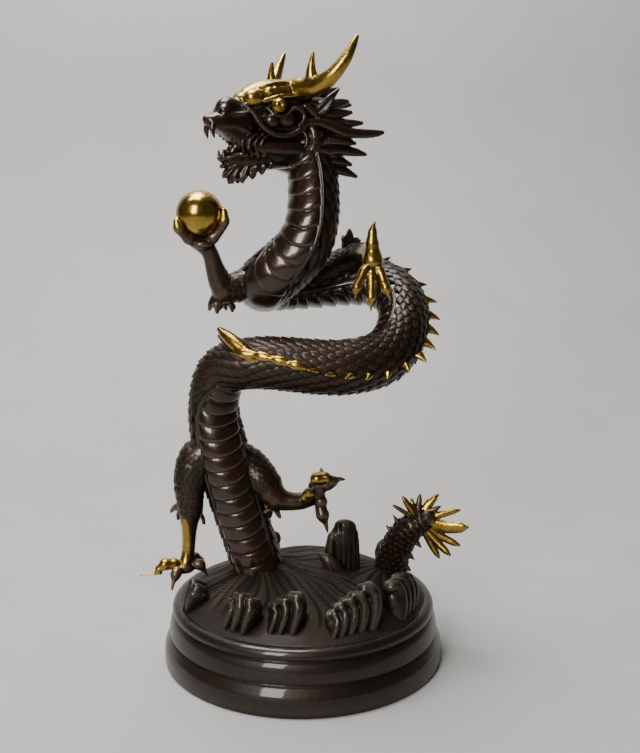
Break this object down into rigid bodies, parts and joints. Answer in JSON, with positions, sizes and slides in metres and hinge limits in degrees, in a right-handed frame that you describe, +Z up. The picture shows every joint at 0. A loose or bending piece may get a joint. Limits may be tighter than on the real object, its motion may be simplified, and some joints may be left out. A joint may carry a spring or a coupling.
{
  "type": "dragon sculpture",
  "caption": "Bronze dragon standing in an S-shaped coil out of waves on a round turned plinth, holding up a pearl.",
  "frame": {"origin": "middle of the plinth's flat underside", "axes": "+Z up; the lower body's belly plates and the viewer's side face -Y; the dragon's head looks to -X"},
  "size_m": [0.2293, 0.2, 0.426],
  "materials": {
    "plinth_bronze": "dark brown patinated bronze, waxed",
    "dragon_bronze": "red-brown patinated bronze, waxed, with gilt high points",
    "polished_brass": "polished brass"
  },
  "bodies": {
    "root": {"plinth": "plinth_bronze", "dragon": "dragon_bronze", "dragon_tail": "dragon_bronze", "pearl": "polished_brass"}
  },
  "joints": []
}
